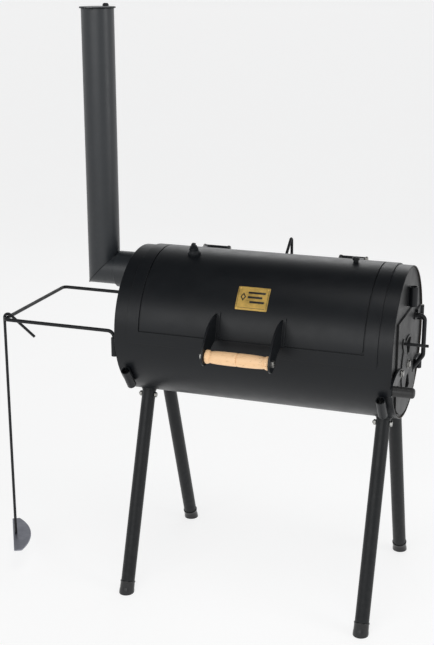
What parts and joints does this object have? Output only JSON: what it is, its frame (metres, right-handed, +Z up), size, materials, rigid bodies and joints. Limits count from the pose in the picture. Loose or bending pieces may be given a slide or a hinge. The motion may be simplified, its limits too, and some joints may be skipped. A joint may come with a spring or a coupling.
{
  "type": "barrel smoker",
  "caption": "Free-standing steel barrel smoker with a hinged lid, end fire door with damper, elbow chimney, side rail with an ash rake, and splayed legs.",
  "frame": {"origin": "on the ground, under the middle of the whole object's box", "axes": "+Z up, +X along the barrel towards the fire door, -Y towards the lid handle"},
  "size_m": [1.232, 0.5872, 1.5878],
  "materials": {
    "satin_black": "satin heat-resistant paint",
    "door_paint": "satin heat-resistant paint, a little lighter",
    "leg_paint": "satin powder coat",
    "zinc": "zinc-plated",
    "plate_brass": "brushed",
    "beech": "oiled, turned",
    "foot_plastic": "gloss black",
    "grip_plastic": "fine matte black",
    "blade_steel": "satin, hot-rolled",
    "rod_paint": "satin",
    "grate_steel": "seasoned bare steel"
  },
  "bodies": {
    "root": {"barrel_shell": "satin_black", "lid_frame": "satin_black", "left_end_cap": "satin_black", "right_end_plate": "door_paint", "grate_ledges": "satin_black", "lid_hinge_tubes": "satin_black", "lid_hinge_bolts": "zinc", "lid_hinge_nuts": "zinc", "lid_rest": "rod_paint", "door_hinge_blocks": "satin_black", "door_hinge_pins": "zinc", "latch_rest": "satin_black", "shelf_socket_left": "satin_black", "shelf_socket_right": "satin_black", "accessory_socket": "satin_black", "rail_sockets": "satin_black", "chimney_collar": "satin_black", "chimney_elbow": "satin_black", "chimney_pipe": "satin_black", "cap_lug": "satin_black", "cap_bolt": "rod_paint", "leg_front_left": "leg_paint", "leg_front_right": "leg_paint", "leg_rear_left": "leg_paint", "leg_rear_right": "leg_paint", "foot_cap_front_left": "foot_plastic", "foot_cap_front_right": "foot_plastic", "foot_cap_rear_left": "foot_plastic", "foot_cap_rear_right": "foot_plastic", "leg_stubs": "leg_paint", "leg_bolts": "zinc", "leg_nuts": "zinc"},
    "lid": {"lid_panel": "satin_black", "lid_hinge_lugs": "satin_black", "handle_bracket_left": "satin_black", "handle_bracket_right": "satin_black", "handle_grip": "beech", "handle_bolt": "zinc", "name_plate": "plate_brass", "plate_rivets": "plate_brass", "thermometer_socket": "satin_black", "thermometer_plug": "satin_black", "probe_port_plug": "satin_black"},
    "door": {"fire_door": "door_paint", "door_hinge_leaves": "satin_black", "door_handle": "rod_paint", "door_bolts": "zinc", "door_nuts": "zinc"},
    "damper": {"damper_disc": "door_paint", "damper_rod": "rod_paint"},
    "latch": {"latch_lever": "satin_black", "latch_grip": "grip_plastic"},
    "cap": {"chimney_cap": "satin_black"},
    "rail": {"side_rail": "rod_paint"},
    "rake": {"rake_rod": "rod_paint", "rake_blade": "blade_steel"},
    "cooking_grate_left": {"cooking_grate_left": "grate_steel"},
    "cooking_grate_right": {"cooking_grate_right": "grate_steel"},
    "charcoal_grate": {"charcoal_grate": "grate_steel"}
  },
  "joints": [
    {"name": "lid_hinge", "type": "hinge", "parent": "root", "child": "lid", "pos_m": [0.17212, 0.13151, 0.91731], "axis": [-1, 0, 0], "range_deg": [0, 139.5]},
    {"name": "door_hinge", "type": "hinge", "parent": "root", "child": "door", "pos_m": [0.55662, 0.15738, 0.709], "axis": [0, 0, 1], "range_deg": [0, 110]},
    {"name": "damper_turn", "type": "hinge", "parent": "door", "child": "damper", "pos_m": [0.55002, 0.01038, 0.676], "axis": [-1, 0, 0], "range_deg": [0, 60]},
    {"name": "latch_lift", "type": "hinge", "parent": "door", "child": "latch", "pos_m": [0.55042, -0.08862, 0.682], "axis": [-1, 0, 0], "range_deg": [0, 60]},
    {"name": "cap_swing", "type": "hinge", "parent": "root", "child": "cap", "pos_m": [-0.32188, 0.06838, 1.576], "axis": [0, 0, 1], "range_deg": [0, 110]},
    {"name": "rail_lift", "type": "slide", "parent": "root", "child": "rail", "axis": [0, 0, 1], "range_m": [0, 0.06]},
    {"name": "rake_lift", "type": "slide", "parent": "rail", "child": "rake", "axis": [0, 0, 1], "range_m": [0, 0.1]},
    {"name": "cooking_grate_left_lift", "type": "slide", "parent": "root", "child": "cooking_grate_left", "axis": [0, 0, 1], "range_m": [0, 0.04]},
    {"name": "cooking_grate_right_lift", "type": "slide", "parent": "root", "child": "cooking_grate_right", "axis": [0, 0, 1], "range_m": [0, 0.04]},
    {"name": "charcoal_grate_lift", "type": "slide", "parent": "root", "child": "charcoal_grate", "axis": [0, 0, 1], "range_m": [0, 0.04]}
  ]
}
